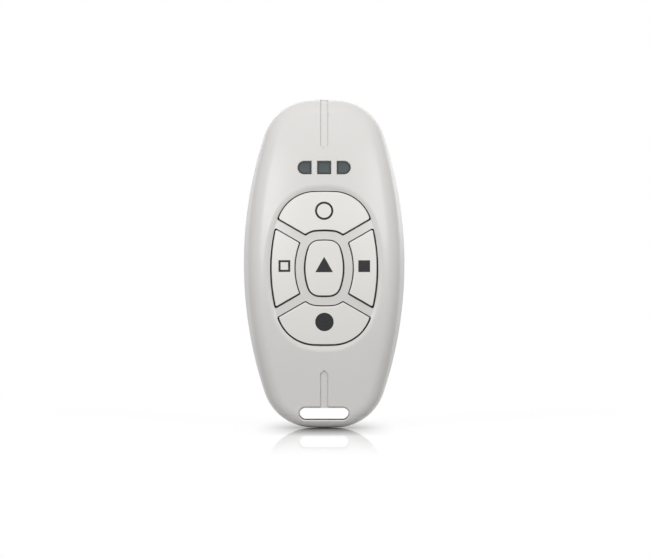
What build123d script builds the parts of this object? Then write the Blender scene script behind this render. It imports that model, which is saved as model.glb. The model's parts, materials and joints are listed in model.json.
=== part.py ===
from build123d import *
import os
from math import asin, degrees, radians, sqrt, tan

# Alarm key fob: two crowned covers, five keys over small switches, three
# indicator windows and a strap slot. It is drawn lying on its back, with X to
# the right, Y along the length and Z out of the keys, and stood up at the end.

# Body
body_width = 38.2
body_length = 78.0
body_thickness = 16.0
side_bulge = 8.19
end_bulge = 2.31
corner_share = 0.314
crown_end_drop = 6.81
crown_side_drop = 3.42
parting_height = 6.0
front_taper_degrees = 12.0
rear_taper_degrees = 8.0
front_round = 4.5
rear_round = 3.0
back_flat_length = 46.0
back_end_rise = 1.52
wall = 1.8
parting_bevel = 0.2
overrun = 2.0

# Joint between the two covers
lip_wall = 0.9
lip_fit = 0.06
tongue_height = 1.2
tongue_end_gap = 0.2
tongue_root = 0.6

# Strap slot
slot_length = 11.65
slot_height = 2.85
slot_edge_wall = 1.97
slot_wall = 1.2
slot_bevel = 0.4

# Sunken keypad field
keypad_side_margin = 6.45
keypad_upper_margin = 21.98
keypad_lower_margin = 19.68
keypad_side_bulge = 4.3
keypad_end_bulge = 1.38
keypad_corner_share = 0.371
dish_depth = 0.5
dish_side_margin = 0.4
dish_end_margin = 0.1
dish_bevel_degrees = 70.0
dish_lip_round = 1.6

# Centre key, and the web between the keys
centre_key_width_share = 0.369
centre_key_length_share = 0.367
centre_key_side_bulge = 1.71
centre_key_end_bulge = 0.57
centre_key_corner_share = 0.3065
ring_width = 2.17
ring_corner_gain = 1.5
spoke_width = 2.15
spoke_root = 4.0
spoke_degrees = 30.0

# Keys
key_gap = 0.26
key_corner_round = 0.45
key_edge_round = 0.25
key_proud = 0.3
key_top_wall = 1.2
key_side_wall = 0.9
key_travel = 0.3
flange_overlap = 0.35
flange_clearance = 0.1
flange_thickness = 0.8
stem_radius = 1.4

# Indicator windows and the light guide behind them
window_end_distance = 16.41
window_width = 3.27
window_height = 3.12
window_pitch = 4.62
window_bevel = 0.15
lens_gap = 0.06
lens_recess = 0.12
guide_margin = 1.2
guide_plate = 1.0
guide_clearance = 0.05
guide_pipe_width = 2.4
guide_lamp_gap = 0.3

# Decorative grooves on the front centreline
groove_width = 1.9
groove_depth = 0.35
groove_tip_length = 0.9
upper_groove_length = 12.0
lower_groove_end_distance = 13.9

# Housing screws
screw_end_distance = 7.5
screw_seat = 2.0
screw_head_radius = 2.0
screw_head_height = 1.3
screw_head_bevel = 0.35
screw_shank_radius = 1.0
screw_length = 6.8
screw_tip_space = 0.4
screw_pilot_fit = 0.02
screw_hole_clearance = 0.2
counterbore_clearance = 0.2
sleeve_radius = 2.8
sleeve_gap = 0.6
boss_radius = 2.3
boss_end_gap = 0.1

# Coin cell and its contacts, stacked between the rear wall and the board
cell_radius = 10.0
cell_height = 3.2
cell_cap_radius = 8.8
cell_cap_height = 0.25
cell_edge_bevel = 0.5
contact_thickness = 0.25
strap_floor_gap = 0.15
strap_width = 8.0
strap_side_gap = 0.25
strap_foot_length = 2.4
cell_board_space = 0.7
leaf_width = 4.0
leaf_reach = 4.0
leaf_slope_length = 2.5
holder_cell_clearance = 0.15
holder_wall = 1.25
holder_strap_gap = 0.3
holder_mouth_width = 14.0

# Circuit board
board_thickness = 1.0
board_side_gap = 0.6
board_corner_radius = 1.5
post_radius = 1.5
post_end_distance = 8.0
post_edge_distance = 2.6
pin_radius = 0.6
pin_clearance = 0.1
post_board_gap = 0.1

# Key switches
switch_width = 4.5
switch_body_height = 3.5
switch_corner_round = 0.4
plunger_radius = 1.0
plunger_height = 1.3
plunger_insert = 0.9
plunger_clearance = 0.06

# Indicator lamps
lamp_width = 1.8
lamp_length = 2.8
lamp_base_height = 0.7
lamp_dome_height = 0.5
lamp_dome_width = 1.3

# Radio parts
radio_chip_size = 5.0
radio_chip_height = 0.9
controller_length = 6.4
controller_width = 4.4
controller_height = 1.1
chip_bevel = 0.2
crystal_length = 5.0
crystal_width = 3.2
crystal_height = 1.1
crystal_round = 0.4
radio_row_gap = 1.6
antenna_wire_radius = 0.4
antenna_side_distance = 3.5
antenna_rise = 2.6
antenna_bend_radius = 1.2
antenna_edge_distance = 1.7

# Corner of the body, and sizes of the keypad field and its centre key
corner_radius = corner_share * body_width
keypad_width = body_width - 2 * keypad_side_margin
keypad_length = body_length - keypad_upper_margin - keypad_lower_margin
keypad_y = (keypad_lower_margin - keypad_upper_margin) / 2
keypad_corner_radius = keypad_corner_share * keypad_width
centre_key_width = centre_key_width_share * keypad_width
centre_key_length = centre_key_length_share * keypad_length
centre_key_corner_radius = centre_key_corner_share * centre_key_width
ring_corner_radius = centre_key_corner_radius + ring_corner_gain


def arc_radius(half_chord, bulge):
    """Radius of the arc that stands out by bulge over a chord."""
    return (half_chord**2 + bulge**2) / (2 * bulge)


def barrel_outline(width, length, side_bulge_size, end_bulge_size, corner):
    """Half width, half length, side radius, end radius and corner radius."""
    side_radius = arc_radius(length / 2, side_bulge_size)
    end_radius = arc_radius(width / 2, end_bulge_size)
    return (width / 2, length / 2, side_radius, end_radius, corner)


# Outlines of the body, the keypad field, the centre key and the ring round it
body_outline = barrel_outline(body_width, body_length, side_bulge, end_bulge, corner_radius)
keypad_outline = barrel_outline(
    keypad_width, keypad_length, keypad_side_bulge, keypad_end_bulge, keypad_corner_radius
)
centre_key_outline = barrel_outline(
    centre_key_width,
    centre_key_length,
    centre_key_side_bulge,
    centre_key_end_bulge,
    centre_key_corner_radius,
)
ring_outline = tuple(value + ring_width for value in centre_key_outline[:-1]) + (ring_corner_radius,)

# Heights and places along the body
crown_length_radius = arc_radius(body_length / 2, crown_end_drop)
crown_width_radius = arc_radius(body_width / 2, crown_side_drop)
back_end_radius = arc_radius((body_length - back_flat_length) / 2, back_end_rise)
apex = body_thickness + dish_depth - key_proud
key_depth = dish_depth - key_proud
crown_axis_z = apex - crown_length_radius
slot_y = slot_edge_wall + (slot_height - body_length) / 2
slot_block_top = slot_y + slot_height / 2 + slot_wall
window_y = body_length / 2 - window_end_distance
window_places = [(step * window_pitch, window_y) for step in (-1, 0, 1)]
upper_groove_tip = body_length / 2 - upper_groove_length
lower_groove_tip = lower_groove_end_distance - body_length / 2
upper_screw_y = body_length / 2 - screw_end_distance
lower_screw_y = slot_block_top + sleeve_gap + sleeve_radius
screw_rows = (lower_screw_y, upper_screw_y)

# Stack of the cell, the board and the switches
strap_low = wall + strap_floor_gap
cell_low = strap_low + contact_thickness
cell_top = cell_low + cell_height
board_low = cell_top + cell_board_space
board_top = board_low + board_thickness
switch_top = board_top + switch_body_height
plunger_top = switch_top + plunger_height
holder_outer = cell_radius + holder_cell_clearance + holder_wall
strap_half = holder_outer + strap_side_gap + contact_thickness
board_y_low = lower_screw_y + sleeve_radius + sleeve_gap
board_y_high = upper_screw_y - sleeve_radius - sleeve_gap

# Middle of the web on each side of the centre key, and of each key
key_reach_x = (keypad_width / 2 + centre_key_width / 2 + ring_width) / 2
key_reach_y = (keypad_length / 2 + centre_key_length / 2 + ring_width) / 2
key_places = {
    "top": (0, keypad_y + key_reach_y),
    "left": (-key_reach_x, keypad_y),
    "centre": (0, keypad_y),
    "right": (key_reach_x, keypad_y),
    "bottom": (0, keypad_y - key_reach_y),
}


def board_half_width(y):
    """Half width of the circuit board at a place along the body."""
    side_radius = body_outline[2]
    bulge = side_radius - sqrt(side_radius**2 - y**2)
    return body_width / 2 - bulge - wall - board_side_gap


# Posts that carry the board, near its corners
post_places = [
    (side * (board_half_width(row) - post_edge_distance), row)
    for side in (-1, 1)
    for row in (board_y_low + post_end_distance, board_y_high - post_end_distance)
]


def barrel(outline, inset=0):
    """Four arcs with rounded corners, drawn in by inset on every side."""
    half_width, half_length, side_r, end_r, corner_r = (value - inset for value in outline)
    side_shift = half_width - side_r
    end_shift = half_length - end_r
    sides = Pos(side_shift, 0) * Circle(side_r) & Pos(-side_shift, 0) * Circle(side_r)
    ends = Pos(0, end_shift) * Circle(end_r) & Pos(0, -end_shift) * Circle(end_r)
    corners = [point for point in (sides & ends).vertices() if abs(point.Y) > half_length / 2]
    return fillet(corners, corner_r)


def column(outline, low, high):
    """Straight prism over an outline between two heights."""
    return Pos(0, 0, low) * extrude(outline, high - low, dir=(0, 0, 1))


def rounded_line_ends(outline, radius):
    """The same outline with a rounding at both ends of each of its straight lines."""
    return fillet(outline.edges().filter_by(GeomType.LINE).vertices(), radius)


def crown_drop(y):
    """How far the crown's centreline lies below its highest point."""
    return crown_length_radius - sqrt(crown_length_radius**2 - y**2)


def crown_height(x, y):
    """Height of the crowned front above a point of the plan."""
    return apex - crown_width_radius + sqrt((crown_width_radius - crown_drop(y)) ** 2 - x**2)


def below_crown(depth):
    """All that lies under the crowned front, lowered by depth."""
    half = body_length / 2 + overrun
    shoulder = apex - crown_drop(half) - depth
    arc = ThreePointArc((-half, shoulder), (0, apex - depth), (half, shoulder))
    rest = Polyline((half, shoulder), (half, -overrun), (-half, -overrun), (-half, shoulder))
    section = Plane.YZ * make_face(Curve() + arc + rest)
    axis = Axis((0, 0, apex - crown_width_radius), (0, 1, 0))
    narrowest = crown_width_radius - crown_drop(half) - front_round
    turn = degrees(asin((body_width / 2 + overrun) / narrowest))
    return revolve(section.rotate(axis, -turn), axis, 2 * turn)


def crowned_layer(outline, outer_depth, inner_depth):
    """Prism over an outline between two levels that follow the crown."""
    return column(outline, 0, apex) & (below_crown(outer_depth) - below_crown(inner_depth))


def above_back(inset):
    """All that lies over the back: flat in the middle, curving up to both ends."""
    radius = back_end_radius - inset
    half_flat = back_flat_length / 2
    turn = degrees(asin((body_length / 2 + overrun - half_flat) / radius))
    flat = Line((-half_flat, inset), (half_flat, inset))
    right = JernArc((half_flat, inset), (1, 0), radius, turn)
    left = JernArc((-half_flat, inset), (-1, 0), radius, -turn)
    roof = Polyline(right @ 1, ((right @ 1).X, apex), ((left @ 1).X, apex), left @ 1)
    section = Plane.YZ * make_face(Curve() + flat + right + roof + left)
    return extrude(section, body_width / 2 + overrun, both=True)


def tapered_blank(inset, height, taper_degrees, bevel):
    """Body outline, widest at its bevel by the parting plane and narrowing to a height."""
    direction = 1 if height > parting_height else -1
    widest = parting_height + direction * bevel
    lean = abs(height - widest) * tan(radians(taper_degrees))
    sections = [
        Pos(0, 0, widest) * barrel(body_outline, inset),
        Pos(0, 0, height) * barrel(body_outline, inset + lean),
    ]
    if bevel:
        sections.insert(0, Pos(0, 0, parting_height) * barrel(body_outline, inset + bevel))
    return loft(sections, ruled=True)


def front_form(inset, bevel=0):
    """Front half of the body, as a solid drawn in by inset."""
    form = tapered_blank(inset, apex, front_taper_degrees, bevel) & below_crown(inset)
    rim = [e for e in form.edges() if e.bounding_box().min.Z > parting_height + wall]
    return fillet(rim, front_round - inset)


def rear_form(inset, bevel=0):
    """Rear half of the body, as a solid drawn in by inset."""
    form = tapered_blank(inset, 0, rear_taper_degrees, bevel) & above_back(inset)
    rim = [
        e
        for e in form.edges()
        if e.bounding_box().max.Z < parting_height - wall and e.geom_type != GeomType.LINE
    ]
    return fillet(rim, rear_round - inset)


def slot_outline():
    """Strap slot, a bar with half-round ends."""
    return Pos(0, slot_y) * SlotOverall(slot_length, slot_height)


def slot_block(clearance=0):
    """Plan of the solid end that the strap slot passes through."""
    width = slot_length + 2 * (slot_wall + clearance)
    low = -body_length / 2 - overrun
    high = slot_block_top + clearance
    return Pos(0, (low + high) / 2) * Rectangle(width, high - low)


def lip_ring(outer_inset, inner_inset):
    """Plan of a band that follows the body outline between two insets."""
    return barrel(body_outline, outer_inset) - barrel(body_outline, inner_inset)


def key_sector(axis, grow):
    """Sharp-cornered field below or left of the ring, whose middle is lowest along the axis."""
    web = barrel(ring_outline, grow)
    bar = Pos(keypad_length / 2, 0) * Rectangle(keypad_length, spoke_width - 2 * grow)
    for end in (-1, 1):
        for angle in (end * spoke_degrees, 180 - end * spoke_degrees):
            web += Pos(0, end * spoke_root) * Rot(0, 0, angle) * bar
    return (barrel(keypad_outline, -grow) - web).faces().sort_by(axis)[0]


def key_plan(name, grow=0):
    """Outline of one key on the middle of the gap round it, grown by the given amount."""
    if name == "centre":
        return Pos(0, keypad_y) * barrel(centre_key_outline, -grow)
    axis = Axis.Y if name in ("top", "bottom") else Axis.X
    turn = 180 if name in ("top", "right") else 0
    sharp = key_sector(axis, grow - key_corner_round)
    return Pos(0, keypad_y) * Rot(0, 0, turn) * offset(sharp, key_corner_round)


def window_outline(place, clearance=0):
    """One indicator window; those at the ends of the row have a half-round outer end."""
    row_length = 2 * window_pitch + window_width
    row = Pos(0, window_y) * SlotOverall(row_length - 2 * clearance, window_height - 2 * clearance)
    return row & Pos(*place) * Rectangle(window_width - 2 * clearance, window_height)


def dish():
    """Shallow field round the keys, with a sloped wall; its floor follows the crown."""
    slope = tan(radians(dish_bevel_degrees))
    half_width, half_length, side_r, end_r, corner_r = keypad_outline
    half_length -= dish_side_margin - dish_end_margin
    outline = (half_width, half_length, side_r, end_r, corner_r)
    foot_z = crown_height(keypad_width / 2 + dish_side_margin, 0) - dish_depth
    sections = []
    for height in (foot_z - wall, apex):
        grow = dish_side_margin + (height - foot_z) * slope
        sections.append(Pos(0, 0, height) * barrel(outline, -grow))
    axis = Axis((0, 0, crown_axis_z), (1, 0, 0))
    turn = degrees(asin(keypad_y / crown_length_radius))
    return loft(sections, ruled=True).rotate(axis, -turn) - below_crown(dish_depth)


def groove(tip, far_end):
    """Channel of even depth along the front's centreline, with a pointed end at tip."""
    half = groove_width / 2
    shoulder = tip + groove_tip_length * (1 if far_end > tip else -1)
    plan = Polygon(
        (0, tip), (half, shoulder), (half, far_end), (-half, far_end), (-half, shoulder), align=None
    )
    return column(plan, 0, apex) - front_form(groove_depth)


def front_skin():
    """Outer shape of the front cover with its sunken keypad field."""
    form = front_form(0, parting_bevel)
    dished = form - dish()
    lip = [edge for edge in dished.edges() - form.edges() if on_crown(edge @ 0.5)]
    return fillet(lip, dish_lip_round)


def front_supports():
    """Solid end, screw bosses and board posts that stand inside the front cover."""
    supports = column(slot_block(), parting_height, apex)
    for row in screw_rows:
        supports += column(Pos(0, row) * Circle(boss_radius), parting_height + boss_end_gap, apex)
    for place in post_places:
        supports += column(Pos(*place) * Circle(post_radius), board_top + post_board_gap, apex)
    return supports & front_form(wall / 2)


def front_cover():
    """Crowned front shell with a web of ring and spokes between the key openings."""
    cover = front_skin() - front_form(wall)
    cover -= [column(key_plan(name, key_gap / 2), parting_height, apex) for name in key_places]
    cover += front_supports()
    rebate = lip_ring(lip_wall, wall + lip_fit) - slot_block()
    cover -= column(rebate, parting_height, parting_height + tongue_height + tongue_end_gap)
    for row in screw_rows:
        pilot = Pos(0, row) * Circle(screw_shank_radius + screw_pilot_fit)
        cover -= column(pilot, parting_height, screw_seat + screw_length + screw_tip_space)
    cover = with_slot(with_windows(cover))
    cover -= groove(upper_groove_tip, body_length / 2 + overrun)
    return cover - groove(lower_groove_tip, slot_y)


def on_crown(point):
    """Whether a point lies on the crowned front."""
    return abs(point.Z - crown_height(point.X, point.Y)) < lip_fit


def with_windows(cover):
    """Cuts the three window openings and bevels their outer rims."""
    opened = cover - [column(window_outline(place), parting_height, apex) for place in window_places]
    rims = [edge for edge in opened.edges() - cover.edges() if on_crown(edge @ 0.5)]
    return chamfer(rims, window_bevel)


def on_slot_side(point):
    """Whether a point lies on the side of the strap slot, seen in plan."""
    past_middle = max(abs(point.X) - (slot_length - slot_height) / 2, 0)
    distance = sqrt(past_middle**2 + (point.Y - slot_y) ** 2)
    return abs(distance - slot_height / 2) < lip_fit


def with_slot(cover):
    """Cuts the strap slot and bevels its outer rim."""
    cover -= column(slot_outline(), -overrun, apex)
    rim = []
    for edge in cover.edges():
        box = edge.bounding_box()
        clear_of_parting = min(abs(box.min.Z - parting_height), abs(box.max.Z - parting_height))
        if clear_of_parting > parting_bevel and on_slot_side(edge @ 0.5):
            rim.append(edge)
    return chamfer(rim, slot_bevel)


def rear_supports():
    """Screw sleeves and board posts that stand inside the rear cover."""
    supports = Part()
    for row in screw_rows:
        supports += column(Pos(0, row) * Circle(sleeve_radius), 0, parting_height)
    for place in post_places:
        supports += column(Pos(*place) * Circle(post_radius), 0, board_low)
        supports += column(Pos(*place) * Circle(pin_radius), 0, board_top)
    room = column(barrel(body_outline, wall), wall, board_top) & above_back(wall / 2)
    return supports & room


def rear_cover():
    """Flat-backed rear shell with a tongue that stands inside the front cover's lip."""
    cover = rear_form(0, parting_bevel) - rear_form(wall)
    cover += rear_supports()
    cover += column(slot_block(), 0, parting_height) & rear_form(wall / 2)
    ring = lip_ring(lip_wall + lip_fit, wall) - slot_block(lip_fit)
    cover += column(ring, parting_height - tongue_root, parting_height + tongue_height)
    for row in screw_rows:
        centre = Pos(0, row)
        shaft = Circle(screw_shank_radius + screw_hole_clearance)
        bore = Circle(screw_head_radius + counterbore_clearance)
        cover -= column(centre * shaft, 0, parting_height + overrun)
        cover -= column(centre * bore, -overrun, screw_seat)
    return with_slot(cover)


def key(name):
    """One key: a hollow crowned cap, a flange that keeps it in, and a stem on its switch."""
    cap_plan = key_plan(name, -key_gap / 2)
    flange_top = wall + flange_clearance
    flange_bottom = flange_top + flange_thickness
    cap = crowned_layer(cap_plan, key_depth, flange_bottom)
    cap = fillet(cap.faces().sort_by(Axis.Z)[-1].edges(), key_edge_round)
    flange_plan = key_plan(name, key_gap / 2 + flange_overlap)
    flange = crowned_layer(flange_plan, flange_top, flange_bottom)
    pocket_plan = key_plan(name, -key_gap / 2 - key_side_wall)
    pocket = crowned_layer(pocket_plan, key_depth + key_top_wall, flange_bottom + overrun)
    stem = column(Pos(*key_places[name]) * Circle(stem_radius), plunger_top, apex)
    return cap + flange - pocket + (stem & below_crown(key_depth + key_top_wall / 2))


def light_guide():
    """One clear moulding: three windows on a plate, with a pipe down to each lamp."""
    row_length = 2 * (window_pitch + guide_margin) + window_width
    plate_plan = Pos(0, window_y) * SlotOverall(row_length, window_height + 2 * guide_margin)
    plate_top = wall + guide_clearance
    plate_bottom = plate_top + guide_plate
    guide = crowned_layer(plate_plan, plate_top, plate_bottom)
    pipe_low = board_top + lamp_base_height + lamp_dome_height + guide_lamp_gap
    for place in window_places:
        guide += crowned_layer(window_outline(place, lens_gap), lens_recess, plate_bottom)
        pipe_plan = Pos(*place) * Rectangle(guide_pipe_width, guide_pipe_width)
        guide += column(pipe_plan, pipe_low, apex) & below_crown(plate_top)
    return guide


def switch_body(place):
    """Housing of one push switch with the well for its plunger."""
    plan = RectangleRounded(switch_width, switch_width, switch_corner_round)
    body = column(plan, board_top, switch_top)
    well = Circle(plunger_radius + plunger_clearance)
    well_depth = plunger_insert + key_travel + plunger_clearance
    return Pos(*place) * (body - column(well, switch_top - well_depth, switch_top))


def plunger(place):
    """Round plunger of one push switch, moved by the key's stem."""
    plan = Pos(*place) * Circle(plunger_radius)
    return column(plan, switch_top - plunger_insert, plunger_top)


def circuit_board():
    """Board that follows the body's sides, on four posts with locating pins."""
    length = board_y_high - board_y_low
    band = Pos(0, (board_y_high + board_y_low) / 2) * Rectangle(body_width, length)
    plan = rounded_line_ends(
        barrel(body_outline, wall + board_side_gap) & band, board_corner_radius
    )
    for place in post_places:
        plan -= Pos(*place) * Circle(pin_radius + pin_clearance)
    return column(plan, board_low, board_top)


def lamp(place):
    """Surface-mounted indicator lamp: a base with a narrower clear dome."""
    base = column(Rectangle(lamp_width, lamp_length), 0, lamp_base_height)
    dome_plan = RectangleRounded(lamp_dome_width, lamp_dome_width, chip_bevel)
    dome = column(dome_plan, lamp_base_height, lamp_base_height + lamp_dome_height)
    return Pos(*place, board_top) * (base + dome)


def coin_cell():
    """Coin cell: a bevelled can below and a smaller cap above."""
    can_top = cell_height - cell_cap_height
    profile = Plane.XZ * Polygon(
        (0, 0),
        (cell_radius - cell_edge_bevel, 0),
        (cell_radius, cell_edge_bevel),
        (cell_radius, can_top),
        (cell_cap_radius, can_top),
        (cell_cap_radius - cell_cap_height, cell_height),
        (0, cell_height),
        align=None,
    )
    return Pos(0, keypad_y, cell_low) * revolve(profile, Axis.Z)


def battery_holder():
    """Open ring under the board that the coin cell slides into from one side."""
    inner = cell_radius + holder_cell_clearance
    ring = Circle(holder_outer) - Circle(inner)
    mouth = Pos(0, -holder_outer) * Rectangle(holder_mouth_width, 2 * holder_outer)
    low = cell_low + holder_strap_gap
    return Pos(0, keypad_y) * column(ring - mouth, low, board_low)


def positive_contact():
    """Bent strap that carries the cell from below, with a soldered foot at each side."""
    inner_half = strap_half - contact_thickness
    height = board_low - strap_low
    outer = Pos(0, strap_low + height / 2) * Rectangle(2 * strap_half, height)
    hollow_height = height - contact_thickness
    hollow = Pos(0, board_low - hollow_height / 2) * Rectangle(2 * inner_half, hollow_height)
    plan = outer - hollow
    foot = Rectangle(strap_foot_length, contact_thickness)
    for side in (-1, 1):
        foot_x = side * (inner_half + strap_foot_length / 2)
        plan += Pos(foot_x, board_low - contact_thickness / 2) * foot
    strip = extrude(Plane.XZ * plan, strap_width / 2, both=True)
    return Pos(0, keypad_y, 0) * strip


def negative_contact():
    """Bent leaf between the cell's cap and the underside of the board."""
    foot_top = board_low
    pad_top = cell_top + contact_thickness
    slope_end = leaf_reach / 2 + leaf_slope_length
    foot_end = slope_end + leaf_reach / 2
    plan = Polygon(
        (-leaf_reach, cell_top),
        (leaf_reach / 2, cell_top),
        (slope_end, foot_top - contact_thickness),
        (foot_end, foot_top - contact_thickness),
        (foot_end, foot_top),
        (slope_end, foot_top),
        (leaf_reach / 2, pad_top),
        (-leaf_reach, pad_top),
        align=None,
    )
    strip = extrude(Plane.XZ * plan, leaf_width / 2, both=True)
    return Pos(0, keypad_y, 0) * strip


def chip(x, y, length, width, height):
    """Chip package on the board, bevelled round its top."""
    body = column(Rectangle(width, length), board_top, board_top + height)
    return Pos(x, y) * chamfer(body.faces().sort_by(Axis.Z)[-1].edges(), chip_bevel)


def crystal():
    """Crystal in a rounded can beside the lower key's switch."""
    plan = RectangleRounded(crystal_length, crystal_width, crystal_round)
    y = keypad_y - key_reach_y + switch_width / 2
    return Pos(-key_reach_x, y) * column(plan, board_top, board_top + crystal_height)


def antenna():
    """Wire loop that stands on the board near its upper end."""
    y = board_y_high - antenna_edge_distance
    half = board_half_width(y) - antenna_side_distance
    top = board_top + antenna_rise
    path = FilletPolyline(
        (-half, y, board_top), (-half, y, top), (half, y, top), (half, y, board_top),
        radius=antenna_bend_radius,
    )
    return sweep(Plane(path @ 0, z_dir=path % 0) * Circle(antenna_wire_radius), path)


def housing_screws():
    """Two screws driven in from the back."""
    screws = Part()
    for row in screw_rows:
        head = Pos(0, row) * Circle(screw_head_radius)
        head_solid = column(head, screw_seat - screw_head_height, screw_seat)
        rim = head_solid.edges().sort_by(Axis.Z)[0]
        shank = Pos(0, row) * Circle(screw_shank_radius)
        shank_solid = column(shank, screw_seat, screw_seat + screw_length)
        screws += chamfer(rim, screw_head_bevel) + shank_solid
    return screws


def make_nodes():
    """Every piece of the fob by its name, lying on its back."""
    radio_y = keypad_y + key_reach_y - radio_row_gap
    nodes = {
        "front_cover": front_cover(),
        "rear_cover": rear_cover(),
        "light_guide": light_guide(),
        "circuit_board": circuit_board(),
        "coin_cell": coin_cell(),
        "battery_holder": battery_holder(),
        "positive_contact": positive_contact(),
        "negative_contact": negative_contact(),
        "radio_chip": chip(
            -key_reach_x, radio_y, radio_chip_size, radio_chip_size, radio_chip_height
        ),
        "controller_chip": chip(
            key_reach_x, radio_y, controller_length, controller_width, controller_height
        ),
        "crystal": crystal(),
        "antenna": antenna(),
        "housing_screws": housing_screws(),
    }
    for name, place in key_places.items():
        nodes["key_" + name] = key(name)
        nodes["switch_" + name] = switch_body(place)
        nodes["plunger_" + name] = plunger(place)
    for side, place in zip(("left", "centre", "right"), window_places):
        nodes["lamp_" + side] = lamp(place)
    return nodes


def stand_up(piece):
    """Stands the fob on its strap end, keys to the front, middle over the origin."""
    return Pos(0, body_thickness / 2, body_length / 2) * Rot(90, 0, 0) * piece


os.makedirs("parts", exist_ok=True)
for node_name, piece in make_nodes().items():
    export_step(stand_up(piece), "parts/" + node_name + ".step")
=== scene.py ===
import json
from math import cos, pi, radians, sin

import bmesh
import bpy
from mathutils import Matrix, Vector


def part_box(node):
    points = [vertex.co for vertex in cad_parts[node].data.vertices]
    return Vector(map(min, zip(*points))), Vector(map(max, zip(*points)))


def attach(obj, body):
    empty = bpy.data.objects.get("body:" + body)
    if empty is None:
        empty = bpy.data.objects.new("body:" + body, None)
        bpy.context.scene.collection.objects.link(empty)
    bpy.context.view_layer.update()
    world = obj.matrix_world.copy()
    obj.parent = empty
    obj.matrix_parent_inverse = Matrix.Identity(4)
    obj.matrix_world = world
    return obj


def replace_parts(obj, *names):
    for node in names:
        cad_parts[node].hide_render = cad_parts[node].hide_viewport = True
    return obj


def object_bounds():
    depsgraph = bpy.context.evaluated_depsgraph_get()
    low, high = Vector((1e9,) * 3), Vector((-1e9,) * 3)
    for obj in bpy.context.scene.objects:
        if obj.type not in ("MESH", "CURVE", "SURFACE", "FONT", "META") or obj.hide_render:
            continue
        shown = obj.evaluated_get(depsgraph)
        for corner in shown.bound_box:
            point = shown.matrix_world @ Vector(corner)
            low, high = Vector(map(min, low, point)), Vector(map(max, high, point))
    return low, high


# Looks of the alarm key fob: finishes of every piece, the symbols printed on
# the keys, the heads of the screws, and the floor, lights and camera. Lengths
# are in metres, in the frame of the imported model: the fob stands on its strap
# end, its keys face -Y and its flat back faces +Y.

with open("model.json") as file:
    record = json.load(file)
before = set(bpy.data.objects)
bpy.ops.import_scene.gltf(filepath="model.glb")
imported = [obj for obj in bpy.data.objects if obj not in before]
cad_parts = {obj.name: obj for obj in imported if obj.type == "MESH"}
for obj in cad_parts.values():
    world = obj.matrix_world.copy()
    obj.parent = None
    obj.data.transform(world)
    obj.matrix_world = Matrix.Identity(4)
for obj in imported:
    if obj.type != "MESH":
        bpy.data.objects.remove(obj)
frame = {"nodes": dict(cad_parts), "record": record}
cad_low, cad_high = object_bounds()

MM = 0.001

# Strap slot through the lower end, whose inside gets painted shade, and the depths
# between which that shade starts behind the front face and ends before the back face
SLOT_LENGTH, SLOT_LOW, SLOT_HIGH = 11.65 * MM, 1.97 * MM, 4.82 * MM
SLOT_FRONT, SLOT_BACK = (-2.6 * MM, -1.6 * MM), (5.5 * MM, 7.5 * MM)
SLOT_OVERRUN = 0.03 * MM
SLOT_SHADE, SLOT_ROUGHNESS = 0.1, 1.0

# Crevices, whose shade is painted into the colour: how far that shade looks, the
# openness at which it is full and at which it is gone, and the share of the colour that it leaves
DEEP_CREVICE = (7 * MM, 0.1, 0.5, 0.04)
FINE_CREVICE = (1.5 * MM, 0.3, 0.95, 0.8)
# Heights between which that shade sets in, so that the floor is no crevice
FOOT_LOW, FOOT_HIGH = 2.6 * MM, 4.2 * MM
# Slope of the keys' outer edges at which their painted shade starts and is full
EDGE_START, EDGE_FULL = 0.25, 0.52

# Windows, which lie in front of the lamps, and the rim of painted shade inside each
WINDOW_WIDTH, WINDOW_HEIGHT, WINDOW_PITCH = 3.27 * MM, 3.12 * MM, 4.62 * MM
RIM_OUTER, RIM_INNER = 0.05 * MM, 0.7 * MM

# Range in which nearly all values of a noise texture lie
NOISE_LOW, NOISE_HIGH = 0.3, 0.7


# Node helpers


def new_material(name):
    """A new node material, as its tree, its Principled shader and itself."""
    material = bpy.data.materials.new(name)
    material.use_nodes = True
    tree = material.node_tree
    return tree, tree.nodes["Principled BSDF"], material


def node(tree, kind, **settings):
    """A node with some of its properties and inputs set by name."""
    made = tree.nodes.new(kind)
    for key, value in settings.items():
        if hasattr(made, key):
            setattr(made, key, value)
        else:
            made.inputs[key.replace("_", " ")].default_value = value
    return made


def math_node(tree, operation, *inputs):
    """A maths node whose inputs are sockets or plain numbers."""
    made = node(tree, "ShaderNodeMath", operation=operation)
    for socket, value in zip(made.inputs, inputs):
        if isinstance(value, (int, float)):
            socket.default_value = value
        else:
            tree.links.new(value, socket)
    return made.outputs[0]


def hypotenuse(tree, across, up):
    """Length of the longest side of a right triangle."""
    squares = [math_node(tree, "MULTIPLY", side, side) for side in (across, up)]
    return math_node(tree, "SQRT", math_node(tree, "ADD", *squares))


def mapped(tree, value, near, far, start, stop, interpolation="LINEAR"):
    """Goes from start to stop as a value goes from near to far."""
    made = node(
        tree, "ShaderNodeMapRange", interpolation_type=interpolation,
        From_Min=near, From_Max=far, To_Min=start, To_Max=stop,
    )
    tree.links.new(value, made.inputs["Value"])
    return made.outputs["Result"]


def fading(tree, value, near, far, start, stop):
    """Smoothly changes from start to stop as a value goes from near to far."""
    return mapped(tree, value, near, far, start, stop, "SMOOTHSTEP")


def noise(tree, place, size, detail=2.0):
    """Noise whose blobs are about size metres across."""
    made = node(tree, "ShaderNodeTexNoise", Scale=1 / size, Detail=detail)
    tree.links.new(place, made.inputs["Vector"])
    return made.outputs["Fac"]


def spread(tree, value, low, high):
    """Maps a noise value, which stays near a half, onto a range."""
    return mapped(tree, value, NOISE_LOW, NOISE_HIGH, low, high)


def towards(tree, factor, value, target):
    """Moves a value towards a target number by a factor."""
    left = math_node(tree, "MULTIPLY", value, math_node(tree, "SUBTRACT", 1.0, factor))
    return math_node(tree, "ADD", left, math_node(tree, "MULTIPLY", factor, target))


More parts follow.
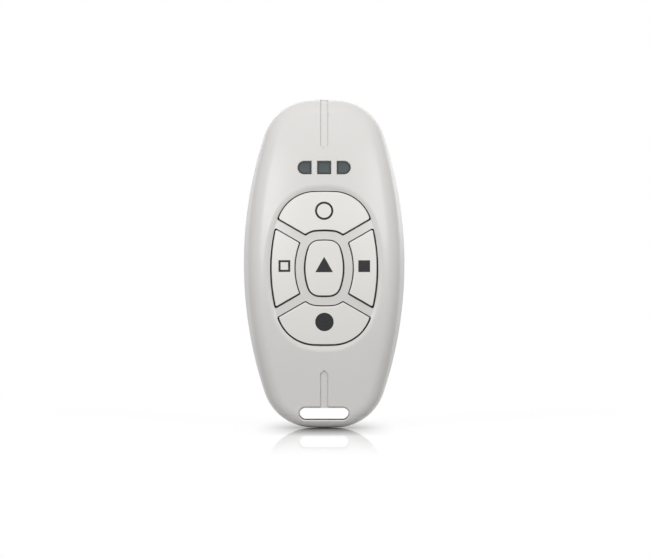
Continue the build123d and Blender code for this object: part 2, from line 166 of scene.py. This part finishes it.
def blend_colours(tree, factor, first, second):
    """Colour between two colours, by a factor."""
    made = node(tree, "ShaderNodeMix", data_type="RGBA")
    colour_inputs = [socket for socket in made.inputs if socket.type == "RGBA"]
    for socket, colour in zip(colour_inputs, (first, second)):
        socket.default_value = (*colour, 1)
    tree.links.new(factor, made.inputs["Factor"])
    return [socket for socket in made.outputs if socket.type == "RGBA"][0]


def scaled(tree, colour, factor):
    """A colour made darker by a factor."""
    made = node(tree, "ShaderNodeVectorMath", operation="SCALE")
    tree.links.new(colour, made.inputs[0])
    tree.links.new(factor, made.inputs["Scale"])
    return made.outputs["Vector"]


def mixed_shaders(tree, factor, first, second):
    """A shader between two shaders, by a factor."""
    made = tree.nodes.new("ShaderNodeMixShader")
    for socket, source in zip(made.inputs, (factor, first, second)):
        tree.links.new(source, socket)
    return made.outputs[0]


def add_bump(tree, shader, height, distance, strength):
    """Bump of a height field, distance metres deep."""
    made = node(tree, "ShaderNodeBump", Strength=strength, Distance=distance)
    tree.links.new(height, made.inputs["Height"])
    tree.links.new(made.outputs["Normal"], shader.inputs["Normal"])


def surface_place(tree):
    """Coordinates fixed to the object, in metres."""
    return tree.nodes.new("ShaderNodeTexCoord").outputs["Object"]


def separated(tree, vector):
    """The X, Y and Z of a vector."""
    made = tree.nodes.new("ShaderNodeSeparateXYZ")
    tree.links.new(vector, made.inputs["Vector"])
    return made.outputs["X"], made.outputs["Y"], made.outputs["Z"]


# Materials


def crevice_shade(tree, colour, reach, closed, clear, dark):
    """Paints shade into a colour where most of what it faces within reach is other surface."""
    opening = node(tree, "ShaderNodeAmbientOcclusion", samples=12, Distance=reach)
    lit = fading(tree, opening.outputs["AO"], closed, clear, dark, 1.0)
    height = separated(tree, surface_place(tree))[2]
    foot = fading(tree, height, FOOT_LOW, FOOT_HIGH, 1.0, 0.0)
    return scaled(tree, colour, math_node(tree, "MAXIMUM", lit, foot))


def in_slot(tree):
    """1 on the walls inside the strap slot, which get painted shade and more roughness, 0 elsewhere
    and at its two openings.
    """
    x, y, z = separated(tree, surface_place(tree))
    end_radius = (SLOT_HIGH - SLOT_LOW) / 2
    rise = math_node(tree, "SUBTRACT", z, (SLOT_LOW + SLOT_HIGH) / 2)
    beside = math_node(tree, "ABSOLUTE", x)
    past = math_node(tree, "SUBTRACT", beside, SLOT_LENGTH / 2 - end_radius)
    reach = hypotenuse(tree, math_node(tree, "MAXIMUM", past, 0), rise)
    within = math_node(tree, "LESS_THAN", reach, end_radius + SLOT_OVERRUN)
    from_front = fading(tree, y, *SLOT_FRONT, 0.0, 1.0)
    from_back = fading(tree, y, *SLOT_BACK, 1.0, 0.0)
    return math_node(tree, "MULTIPLY", math_node(tree, "MULTIPLY", from_front, from_back), within)


def outer_edge_shade(tree, colour, dark):
    """Paints shade on the rounded edges that face down or away from the middle of the keypad."""
    facing_x, _, facing_z = separated(tree, tree.nodes.new("ShaderNodeTexCoord").outputs["Normal"])
    side = math_node(tree, "SIGN", separated(tree, surface_place(tree))[0])
    outward = math_node(tree, "MULTIPLY", facing_x, side)
    upward = math_node(tree, "MAXIMUM", facing_z, 0.0)
    outward = math_node(tree, "SUBTRACT", outward, upward)
    downward = math_node(tree, "MULTIPLY", facing_z, -1.0)
    away = math_node(tree, "MAXIMUM", outward, downward)
    return scaled(tree, colour, fading(tree, away, EDGE_START, EDGE_FULL, 1.0, dark))


def moulded_plastic(
    name, colour, shade, roughness, grain, grain_depth, edge_shade=1, slotted=False
):
    """Satin moulded plastic: fine spark-erosion grain, faint mottling and handling marks, and painted
    shade in crevices, on chosen keys' outer edges and in the strap slot.
    """
    mottling_size, marks_size = 9 * MM, 4 * MM
    smoother, rougher = 0.02, 0.025
    specular, grain_strength = 0.4, 0.35
    tree, shader, material = new_material(name)
    place = surface_place(tree)
    mottling = noise(tree, place, mottling_size, 3)
    darker = tuple(shade * part for part in colour)
    tone = blend_colours(tree, spread(tree, mottling, 0, 1), colour, darker)
    tone = crevice_shade(tree, tone, *DEEP_CREVICE)
    tone = crevice_shade(tree, tone, *FINE_CREVICE)
    marks = noise(tree, place, marks_size, 6)
    rough = spread(tree, marks, roughness - smoother, roughness + rougher)
    if edge_shade < 1:
        tone = outer_edge_shade(tree, tone, edge_shade)
    # Painted shade, and full roughness, on the walls inside the strap slot
    if slotted:
        tone = scaled(tree, tone, towards(tree, in_slot(tree), 1.0, SLOT_SHADE))
        rough = towards(tree, in_slot(tree), rough, SLOT_ROUGHNESS)
    tree.links.new(tone, shader.inputs["Base Color"])
    tree.links.new(rough, shader.inputs["Roughness"])
    shader.inputs["Specular IOR Level"].default_value = specular
    add_bump(tree, shader, noise(tree, place, grain, 4), grain_depth, grain_strength)
    return material


def window_rim(tree, x, z):
    """0 at the edge of each window, 1 well inside: a rim of painted shade where the deep sides of the
    clear blocks would look dark.
    """
    end_radius = WINDOW_HEIGHT / 2
    row_half = WINDOW_PITCH + WINDOW_WIDTH / 2
    past = math_node(tree, "SUBTRACT", math_node(tree, "ABSOLUTE", x), row_half - end_radius)
    reach = hypotenuse(tree, math_node(tree, "MAXIMUM", past, 0), z)
    from_end = math_node(tree, "SUBTRACT", end_radius, reach)
    wrapped = math_node(tree, "WRAP", x, WINDOW_PITCH / 2, -WINDOW_PITCH / 2)
    beside = math_node(tree, "ABSOLUTE", wrapped)
    from_side = math_node(tree, "SUBTRACT", WINDOW_WIDTH / 2, beside)
    nearest = math_node(tree, "MINIMUM", from_end, from_side)
    return fading(tree, nearest, RIM_OUTER, RIM_INNER, 0.0, 1.0)


def smoked_plastic(name, low, high, rim_shade, bottom, top):
    """Smoked clear plastic with painted shade: darker towards its top edge, paler towards its lower
    edge, and dark round the rim of each window.
    """
    marks_size, smoothest, roughest = 1.5 * MM, 0.12, 0.2
    coat, coat_roughness = 0.15, 0.06
    ripple_size, ripple_depth, ripple_strength = 0.6 * MM, 0.004 * MM, 0.3
    tree, shader, material = new_material(name)
    place = surface_place(tree)
    x, _, z = separated(tree, place)
    # Painted shade: darker towards the top edge of the windows
    tone = blend_colours(tree, mapped(tree, z, bottom, top, 0.0, 1.0), low, high)
    level = math_node(tree, "SUBTRACT", z, (bottom + top) / 2)
    # Painted shade: a dark rim round the edge of each window
    shade = mapped(tree, window_rim(tree, x, level), 0.0, 1.0, rim_shade, 1.0)
    tree.links.new(scaled(tree, tone, shade), shader.inputs["Base Color"])
    rough = spread(tree, noise(tree, place, marks_size, 4), smoothest, roughest)
    tree.links.new(rough, shader.inputs["Roughness"])
    shader.inputs["Coat Weight"].default_value = coat
    shader.inputs["Coat Roughness"].default_value = coat_roughness
    add_bump(tree, shader, noise(tree, place, ripple_size, 2), ripple_depth, ripple_strength)
    return material


def metal(name, colour, roughness, streak):
    """Rolled or turned metal with fine streaks and slight tarnish."""
    smoother, rougher = 0.07, 0.09
    streak_squash, streak_depth, streak_strength = 12, 0.004 * MM, 0.4
    tarnish_size, tarnish_shade = 3 * MM, 0.82
    tree, shader, material = new_material(name)
    place = surface_place(tree)
    stretch = node(tree, "ShaderNodeMapping", Scale=(1, 1, streak_squash))
    tree.links.new(place, stretch.inputs["Vector"])
    streaks = noise(tree, stretch.outputs["Vector"], streak, 5)
    tarnish = spread(tree, noise(tree, place, tarnish_size, 4), 0, 1)
    duller = tuple(tarnish_shade * part for part in colour)
    tone = blend_colours(tree, tarnish, colour, duller)
    rough = spread(tree, streaks, roughness - smoother, roughness + rougher)
    tree.links.new(tone, shader.inputs["Base Color"])
    shader.inputs["Metallic"].default_value = 1.0
    tree.links.new(rough, shader.inputs["Roughness"])
    add_bump(tree, shader, streaks, streak_depth, streak_strength)
    return material


def solder_mask(name, colour):
    """Board under green solder mask, with tracks that stand out a little."""
    track_pitch, track_gap, track_depth, track_strength = 2.4 * MM, 0.05, 0.03 * MM, 0.5
    paler_share, marks_size, smoothest, roughest = 1.6, 2 * MM, 0.28, 0.4
    tree, shader, material = new_material(name)
    place = surface_place(tree)
    tracks = node(tree, "ShaderNodeTexBrick", Scale=1 / track_pitch, Mortar_Size=track_gap)
    tree.links.new(place, tracks.inputs["Vector"])
    paler = tuple(min(1, paler_share * part) for part in colour)
    tone = blend_colours(tree, tracks.outputs["Fac"], colour, paler)
    rough = spread(tree, noise(tree, place, marks_size, 3), smoothest, roughest)
    tree.links.new(tone, shader.inputs["Base Color"])
    tree.links.new(rough, shader.inputs["Roughness"])
    add_bump(tree, shader, tracks.outputs["Fac"], track_depth, track_strength)
    return material


def printed_ink(name, colour):
    """Pad-printed ink with a slightly uneven film."""
    film_grain, film_depth, film_strength = 0.35 * MM, 0.004 * MM, 0.3
    denser_share, specular, smoothest, roughest = 0.75, 0.25, 0.45, 0.6
    tree, shader, material = new_material(name)
    film = noise(tree, surface_place(tree), film_grain, 4)
    denser = tuple(denser_share * part for part in colour)
    tone = blend_colours(tree, spread(tree, film, 0, 1), colour, denser)
    tree.links.new(tone, shader.inputs["Base Color"])
    tree.links.new(spread(tree, film, smoothest, roughest), shader.inputs["Roughness"])
    shader.inputs["Specular IOR Level"].default_value = specular
    add_bump(tree, shader, film, film_depth, film_strength)
    return material


window_low, window_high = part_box("lamp_centre")
MATERIALS = {
    "cover_plastic": moulded_plastic(
        "cover_plastic", (0.735, 0.722, 0.703), 0.985, 0.3, 0.16 * MM, 0.008 * MM, slotted=True
    ),
    "key_plastic": moulded_plastic(
        "key_plastic", (0.83, 0.817, 0.783), 0.985, 0.37, 0.14 * MM, 0.008 * MM, edge_shade=0.06
    ),
    "smoked_window": smoked_plastic(
        "smoked_window", (0.076, 0.094, 0.101), (0.05, 0.063, 0.068), 0.22,
        window_low.z, window_high.z,
    ),
    "board": solder_mask("board", (0.02, 0.14, 0.055)),
    "cell_steel": metal("cell_steel", (0.62, 0.61, 0.59), 0.3, 0.5 * MM),
    "contact_metal": metal("contact_metal", (0.72, 0.66, 0.5), 0.32, 0.4 * MM),
    "screw_steel": metal("screw_steel", (0.5, 0.5, 0.5), 0.34, 0.3 * MM),
    "black_plastic": moulded_plastic(
        "black_plastic", (0.02, 0.02, 0.021), 0.8, 0.5, 0.12 * MM, 0.01 * MM
    ),
    "plunger_plastic": moulded_plastic(
        "plunger_plastic", (0.03, 0.03, 0.03), 0.8, 0.4, 0.1 * MM, 0.006 * MM
    ),
    "lamp_resin": moulded_plastic(
        "lamp_resin", (0.8, 0.79, 0.72), 0.95, 0.25, 0.3 * MM, 0.004 * MM
    ),
}
INK = printed_ink("key_ink", (0.03, 0.031, 0.033))


def finish_piece(piece, material):
    """Gives a piece its one material."""
    piece.data.materials.clear()
    piece.data.materials.append(material)


for part in frame["record"]["subparts"]:
    finish_piece(frame["nodes"][part["node"]], MATERIALS[part["material_slot"]])


# Mesh helpers


def as_object(name, mesh):
    """A linked object from a bmesh, with outward faces."""
    bmesh.ops.recalc_face_normals(mesh, faces=mesh.faces)
    data = bpy.data.meshes.new(name)
    mesh.to_mesh(data)
    mesh.free()
    made = bpy.data.objects.new(name, data)
    bpy.context.scene.collection.objects.link(made)
    return made


def circle_outline(radius, count=64):
    """Points round a circle in the plane of the keys, as x and z offsets."""
    angles = [2 * pi * i / count for i in range(count)]
    return [(radius * cos(angle), radius * sin(angle)) for angle in angles]


def polygon_outline(corners, per_side=12):
    """Points along the sides of a polygon, the same number on each side."""
    points = []
    for (x0, z0), (x1, z1) in zip(corners, corners[1:] + corners[:1]):
        for i in range(per_side):
            share = i / per_side
            points.append((x0 + (x1 - x0) * share, z0 + (z1 - z0) * share))
    return points


def square_outline(side):
    """Points round an upright square."""
    h = side / 2
    return polygon_outline([(-h, -h), (h, -h), (h, h), (-h, h)])


def shrunk(outline, factor):
    """The same outline drawn in towards its middle."""
    return [(x * factor, z * factor) for x, z in outline]


# Symbols printed on the keys

INK_PROUD, INK_ROOT = 0.025 * MM, 0.01 * MM
MERGE_DISTANCE = 0.002 * MM
# How far in front of the fob the search for a key's surface starts
SEARCH_START = 5 * MM
LINE_WIDTH = 0.49 * MM
RING_RADIUS = 1.91 * MM
SQUARE_SIDE = 2.76 * MM
TRIANGLE = [(-2.07 * MM, -1.18 * MM), (2.07 * MM, -1.18 * MM), (0, 2.46 * MM)]
DISC_RADIUS = 2.17 * MM
# Share of a filled outline that is left in its middle
POINT_SHARE = 0.004


def surface_y(target, x, z):
    """Where a line along +Y first meets the front of a CAD node."""
    start = Vector((x, cad_low.y - SEARCH_START, z))
    hit, point, _, _ = target.ray_cast(start, Vector((0, 1, 0)))
    if not hit:
        raise ValueError("a symbol reaches past its key: " + target.name)
    return point.y


def printed_symbol(name, key_name, centre, outer, inner, steps):
    """A thin film of ink on a key's crowned top, from an outline in to a smaller one."""
    target = frame["nodes"]["key_" + key_name]
    mesh = bmesh.new()
    layers = []
    for i in range(steps + 1):
        share = i / steps
        ring = []
        for (ox, oz), (ix, iz) in zip(outer, inner):
            x = centre[0] + ox + (ix - ox) * share
            z = centre[1] + oz + (iz - oz) * share
            y = surface_y(target, x, z)
            ring.append((mesh.verts.new((x, y - INK_PROUD, z)), mesh.verts.new((x, y + INK_ROOT, z))))
        layers.append(ring)
    count = len(outer)
    for a, b in zip(layers, layers[1:]):
        for i in range(count):
            j = (i + 1) % count
            mesh.faces.new((a[i][0], a[j][0], b[j][0], b[i][0]))
            mesh.faces.new((a[j][1], a[i][1], b[i][1], b[j][1]))
    for ring in (layers[0], layers[-1]):
        for i in range(count):
            j = (i + 1) % count
            mesh.faces.new((ring[i][0], ring[i][1], ring[j][1], ring[j][0]))
    bmesh.ops.remove_doubles(mesh, verts=mesh.verts, dist=MERGE_DISTANCE)
    piece = as_object(name, mesh)
    finish_piece(piece, INK)
    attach(piece, key_name + "_key")


# Places are measured from the middle of the sunken keypad, that of the centre key
key_low, key_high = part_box("key_centre")
pad_z = (key_low.z + key_high.z) / 2
square = square_outline(SQUARE_SIDE)
triangle = polygon_outline(TRIANGLE)
disc = circle_outline(DISC_RADIUS)

printed_symbol(
    "symbol_ring", "top", (0, pad_z + 13.56 * MM),
    circle_outline(RING_RADIUS + LINE_WIDTH / 2), circle_outline(RING_RADIUS - LINE_WIDTH / 2), 2,
)
printed_symbol(
    "symbol_open_square", "left", (-9.37 * MM, pad_z + 0.55 * MM),
    square, square_outline(SQUARE_SIDE - 2 * LINE_WIDTH), 2,
)
printed_symbol(
    "symbol_triangle", "centre", (0, pad_z + 0.28 * MM), triangle, shrunk(triangle, POINT_SHARE), 5
)
printed_symbol(
    "symbol_square", "right", (9.43 * MM, pad_z + 0.52 * MM), square, shrunk(square, POINT_SHARE), 4
)
printed_symbol(
    "symbol_disc", "bottom", (0.07 * MM, pad_z - 12.62 * MM), disc, shrunk(disc, POINT_SHARE), 5
)


# Screws with a cross recess, seen in their counterbores at the back

HEAD_RADIUS, SHANK_RADIUS = 2.0 * MM, 1.0 * MM
HEAD_HEIGHT, CROWN_HEIGHT = 1.3 * MM, 0.35 * MM
CROWN_INSET, FACE_INSET = 0.35 * MM, 0.25 * MM
# Depth, half length and half width of each arm of the recess, outside and at its bottom
RECESS_MOUTH = (-0.2 * MM, 1.3 * MM, 0.27 * MM)
RECESS_BOTTOM = (0.8 * MM, 0.55 * MM, 0.14 * MM)


def turned(mesh, centre, profile, count=48):
    """Adds a closed turned form about a line along Y, from (radius, y) pairs."""
    angles = [2 * pi * i / count for i in range(count)]
    rings = []
    for radius, y in profile:
        if radius == 0:
            rings.append([mesh.verts.new((centre[0], y, centre[1]))] * count)
            continue
        ring = []
        for a in angles:
            ring.append(mesh.verts.new((centre[0] + radius * cos(a), y, centre[1] + radius * sin(a))))
        rings.append(ring)
    for a, b in zip(rings, rings[1:]):
        for i in range(count):
            j = (i + 1) % count
            mesh.faces.new(list(dict.fromkeys((a[i], a[j], b[j], b[i]))))


def cross_cutter(centre, face_y):
    """Two crossed wedges that narrow towards the bottom of a screw's recess."""
    mesh = bmesh.new()
    for across in (True, False):
        corners = []
        for depth, reach, half in (RECESS_MOUTH, RECESS_BOTTOM):
            for u, v in ((-reach, -half), (reach, -half), (reach, half), (-reach, half)):
                x, z = (u, v) if across else (v, u)
                corners.append(mesh.verts.new((centre[0] + x, face_y - depth, centre[1] + z)))
        mesh.faces.new(corners[:4])
        mesh.faces.new(corners[4:])
        for i in range(4):
            j = (i + 1) % 4
            mesh.faces.new((corners[i], corners[j], corners[j + 4], corners[i + 4]))
    return as_object("recess", mesh)


def cross_head_screw(name, centre):
    """One pan-head screw with a rounded crown, a cross recess and a plain shank."""
    low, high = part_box("housing_screws")
    face, crown, seat = high.y, high.y - CROWN_HEIGHT, high.y - HEAD_HEIGHT
    rounded = []
    for angle in range(0, 91, 15):
        inset = CROWN_INSET * (1 - cos(radians(angle))) + FACE_INSET * (angle / 90) ** 3
        rounded.append((HEAD_RADIUS - inset, crown + CROWN_HEIGHT * sin(radians(angle))))
    shank = [(0, low.y), (SHANK_RADIUS, low.y), (SHANK_RADIUS, seat), (HEAD_RADIUS, seat)]
    mesh = bmesh.new()
    turned(mesh, centre, [*shank, *rounded, (0, face)])
    screw = as_object(name, mesh)
    cutter = cross_cutter(centre, face)
    cut = screw.modifiers.new("recess", "BOOLEAN")
    cut.operation = "DIFFERENCE"
    cut.solver = "EXACT"
    cut.use_self = True
    cut.object = cutter
    graph = bpy.context.evaluated_depsgraph_get()
    finished = bpy.data.meshes.new_from_object(screw.evaluated_get(graph))
    screw.modifiers.clear()
    screw.data = finished
    bpy.data.objects.remove(cutter)
    finish_piece(screw, MATERIALS["screw_steel"])
    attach(screw, "housing")
    return screw


screws_low, screws_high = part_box("housing_screws")
screw_x = (screws_low.x + screws_high.x) / 2
SCREWS = (
    ("screw_lower", screws_low.z + HEAD_RADIUS),
    ("screw_upper", screws_high.z - HEAD_RADIUS),
)
for screw_name, screw_z in SCREWS:
    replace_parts(cross_head_screw(screw_name, (screw_x, screw_z)), "housing_screws")


# Floor, light and camera


def seen_not_bounced(tree):
    """1 for what the camera, a mirror or clear glass shows, 0 for light that bounces."""
    path = tree.nodes.new("ShaderNodeLightPath").outputs
    total = path["Is Camera Ray"]
    for name in ("Is Glossy Ray", "Is Transmission Ray"):
        total = math_node(tree, "MAXIMUM", total, path[name])
    return total


def white_floor():
    """White floor with a painted contact shadow round the fob's foot: near the fob a quarter of what
    it shows is lit, and it mirrors faintly.
    """
    # Share of the light that falls on the floor which brings it to plain white
    gain = 1.16
    contact_reach, contact_power = 0.045, 4.0
    # Each of these goes from one distance to another, and from one level to another
    contact = (0.002, 0.018, 1.0, 0.0)
    lit_part = (0.08, 0.26, 0.25, 0.0)
    mirror = (0.01, 0.17, 0.4, 0.0)
    bounce = (0.006, 0.024, 0.5, 0.16)

    material = bpy.data.materials.new("floor_white")
    material.use_nodes = True
    tree = material.node_tree
    tree.nodes.clear()
    place = surface_place(tree)
    beside = math_node(tree, "ABSOLUTE", separated(tree, place)[0])
    distance = node(tree, "ShaderNodeVectorMath", operation="LENGTH")
    tree.links.new(place, distance.inputs[0])
    distance = distance.outputs["Value"]

    # Painted contact shadow: the floor's colour and glow darken where the fob is within reach, only
    # in a narrow width across its foot
    opening = node(tree, "ShaderNodeAmbientOcclusion", samples=16, Distance=contact_reach)
    open_share = math_node(tree, "POWER", opening.outputs["AO"], contact_power)
    closed = math_node(tree, "SUBTRACT", 1.0, open_share)
    closed = math_node(tree, "MULTIPLY", closed, fading(tree, beside, *contact))
    shade = math_node(tree, "SUBTRACT", 1.0, closed)

    lit_share = fading(tree, distance, *lit_part)
    lit_level = math_node(tree, "MULTIPLY", lit_share, gain)
    lit = tree.nodes.new("ShaderNodeBsdfDiffuse")
    tree.links.new(math_node(tree, "MULTIPLY", shade, lit_level), lit.inputs["Color"])
    white = tree.nodes.new("ShaderNodeEmission")
    white_level = math_node(tree, "SUBTRACT", 1.0, lit_share)
    tree.links.new(math_node(tree, "MULTIPLY", shade, white_level), white.inputs["Strength"])
    shown = tree.nodes.new("ShaderNodeAddShader")
    tree.links.new(lit.outputs[0], shown.inputs[0])
    tree.links.new(white.outputs[0], shown.inputs[1])

    gloss = node(tree, "ShaderNodeBsdfAnisotropic", Color=(1, 1, 1, 1), Roughness=0.01)
    mirror_share = fading(tree, distance, *mirror)
    sheen = mixed_shaders(tree, mirror_share, shown.outputs[0], gloss.outputs[0])
    bounced = tree.nodes.new("ShaderNodeBsdfDiffuse")
    tree.links.new(fading(tree, distance, *bounce), bounced.inputs["Color"])
    surface = mixed_shaders(tree, seen_not_bounced(tree), bounced.outputs[0], sheen)
    output = tree.nodes.new("ShaderNodeOutputMaterial")
    tree.links.new(surface, output.inputs["Surface"])
    return material


def floor():
    """A flat floor under the fob, as wide as the lights reach."""
    side, front, back = 0.4, -0.55, 0.3
    data = bpy.data.meshes.new("floor")
    corners = [(-side, front, 0), (side, front, 0), (side, back, 0), (-side, back, 0)]
    data.from_pydata(corners, [], [(0, 1, 2, 3)])
    data.materials.append(white_floor())
    piece = bpy.data.objects.new("floor", data)
    bpy.context.scene.collection.objects.link(piece)


def white_world(light_level):
    """Even light from all round, and a white backdrop for the eye and for mirrors."""
    world = bpy.data.worlds.new("studio")
    world.use_nodes = True
    bpy.context.scene.world = world
    tree = world.node_tree
    tree.nodes.clear()
    ambient = node(tree, "ShaderNodeBackground", Color=(1, 1, 1, 1), Strength=light_level)
    backdrop = node(tree, "ShaderNodeBackground", Color=(1, 1, 1, 1), Strength=1.0)
    surface = mixed_shaders(
        tree, seen_not_bounced(tree), ambient.outputs[0], backdrop.outputs[0]
    )
    output = tree.nodes.new("ShaderNodeOutputWorld")
    tree.links.new(surface, output.inputs["Surface"])


def softbox(name, place, aim, width, height, power):
    """A rectangular soft light at a place, turned to a point."""
    data = bpy.data.lights.new(name, "AREA")
    data.shape = "RECTANGLE"
    data.size = width
    data.size_y = height
    data.energy = power
    lamp = bpy.data.objects.new(name, data)
    lamp.location = place
    lamp.visible_camera = False
    lamp.rotation_mode = "QUATERNION"
    lamp.rotation_quaternion = (Vector(aim) - Vector(place)).to_track_quat("-Z", "Y")
    bpy.context.scene.collection.objects.link(lamp)


def camera():
    """Long-lens camera level with the fob, as in the photograph."""
    photo_width, pixels_per_mm = 650, 4.205
    aim = Vector((0.2 * MM, 2 * MM, 35.34 * MM))
    distance = 0.91
    view_width = photo_width / pixels_per_mm * MM
    data = bpy.data.cameras.new("camera")
    data.sensor_width = 36
    data.lens = data.sensor_width * distance / view_width
    data.clip_start = 0.05
    data.clip_end = 20
    made = bpy.data.objects.new("camera", data)
    made.location = aim - Vector((0, distance, 0))
    made.rotation_euler = (radians(90), 0, 0)
    bpy.context.scene.collection.objects.link(made)
    bpy.context.scene.camera = made


# Each light's name, place, width, height and power in watts
LIGHTS = (
    ("high_front", (0, -0.65, 0.7), 0.6, 0.4, 0.9),
    ("left", (-0.52, -0.9, 0.3), 0.2, 0.5, 3.2),
    ("right", (0.52, -0.9, 0.3), 0.2, 0.5, 2.5),
    ("behind", (0.2, 0.9, 0.45), 1.4, 0.8, 3.0),
)
floor()
white_world(0.61)
middle = (cad_low + cad_high) / 2
for light_name, place, width, height, power in LIGHTS:
    softbox(light_name, place, middle, width, height, power)
camera()
bpy.context.scene.view_settings.view_transform = "Standard"
